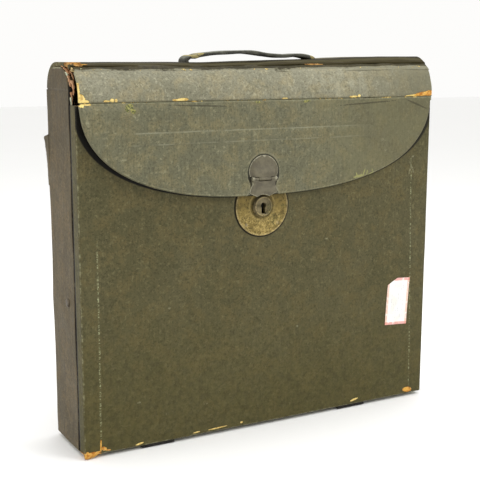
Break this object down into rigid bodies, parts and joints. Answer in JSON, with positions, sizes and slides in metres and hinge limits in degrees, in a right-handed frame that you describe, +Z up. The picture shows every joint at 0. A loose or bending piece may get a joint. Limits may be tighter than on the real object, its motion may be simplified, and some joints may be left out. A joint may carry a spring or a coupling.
{
  "type": "portfolio case",
  "caption": "Rigid portfolio case wrapped in leathercloth, with hinged lid, folding half-moon flap, hasp tongue, round lock and strap handle.",
  "frame": {"origin": "under the middle of the case, on the surface that its two foot strips stand on", "axes": "+X to the right seen from the front, +Y to the back, +Z up"},
  "size_m": [0.3532, 0.0834, 0.3337],
  "materials": {
    "board": "matte",
    "rail_wood": "matte",
    "leathercloth": "satin",
    "lining_cloth": "matte",
    "lining_paper": "matte",
    "strap_leather": "satin",
    "brass": "aged",
    "japanned_metal": "satin",
    "steel": "dull",
    "label_paper": "matte"
  },
  "bodies": {
    "case": {"back_board": "board", "left_side_board": "board", "right_side_board": "board", "bottom_board": "board", "body_covering": "leathercloth", "front_board": "board", "front_left_rail": "rail_wood", "front_right_rail": "rail_wood", "front_bottom_rail": "rail_wood", "front_top_rail": "rail_wood", "front_covering": "leathercloth", "front_nails": "steel", "left_gusset": "lining_cloth", "right_gusset": "lining_cloth", "back_lining": "lining_paper", "left_foot_strip": "strap_leather", "right_foot_strip": "strap_leather", "foot_tacks": "steel", "left_side_stud": "steel", "right_side_stud": "steel", "paper_label": "label_paper", "torn_tab": "leathercloth", "lock_plate": "brass", "lock_collar": "brass", "lock_plate_pins": "brass", "lock_case": "steel", "lock_lever": "steel", "lock_spring": "steel"},
    "lid": {"lid_board": "board", "lid_covering": "leathercloth", "lid_lining": "lining_paper"},
    "handle": {"handle_strap": "strap_leather", "handle_stops": "rail_wood"},
    "band": {"band_board": "board", "band_covering": "leathercloth"},
    "flap": {"flap_board": "board", "flap_covering": "leathercloth", "stiffener_bar": "rail_wood", "hasp_base": "japanned_metal", "hasp_rivets": "japanned_metal", "hasp_pin": "steel"},
    "tongue": {"hasp_tongue": "japanned_metal", "hasp_staple": "steel"},
    "bolt": {"lock_bolt": "steel"}
  },
  "joints": [
    {"name": "lid_lift", "type": "hinge", "parent": "case", "child": "lid", "pos_m": [0, 0.0343, 0.301], "axis": [-1, 0, 0], "range_deg": [0, 175]},
    {"name": "band_fold", "type": "hinge", "parent": "lid", "child": "band", "pos_m": [0, -0.02704, 0.31801], "axis": [-1, 0, 0], "range_deg": [0, 90]},
    {"name": "flap_fold", "type": "hinge", "parent": "band", "child": "flap", "pos_m": [0, -0.0384, 0.2913], "axis": [-1, 0, 0], "range_deg": [0, 120]},
    {"name": "tongue_swing", "type": "hinge", "parent": "flap", "child": "tongue", "pos_m": [-0.008, -0.0403, 0.225], "axis": [-1, 0, 0], "range_deg": [0, 90]},
    {"name": "handle_rise", "type": "slide", "parent": "lid", "child": "handle", "axis": [0, 0, 1], "range_m": [0, 0.016]},
    {"name": "bolt_throw", "type": "slide", "parent": "case", "child": "bolt", "axis": [0, 0, 1], "range_m": [0, 0.005]}
  ]
}
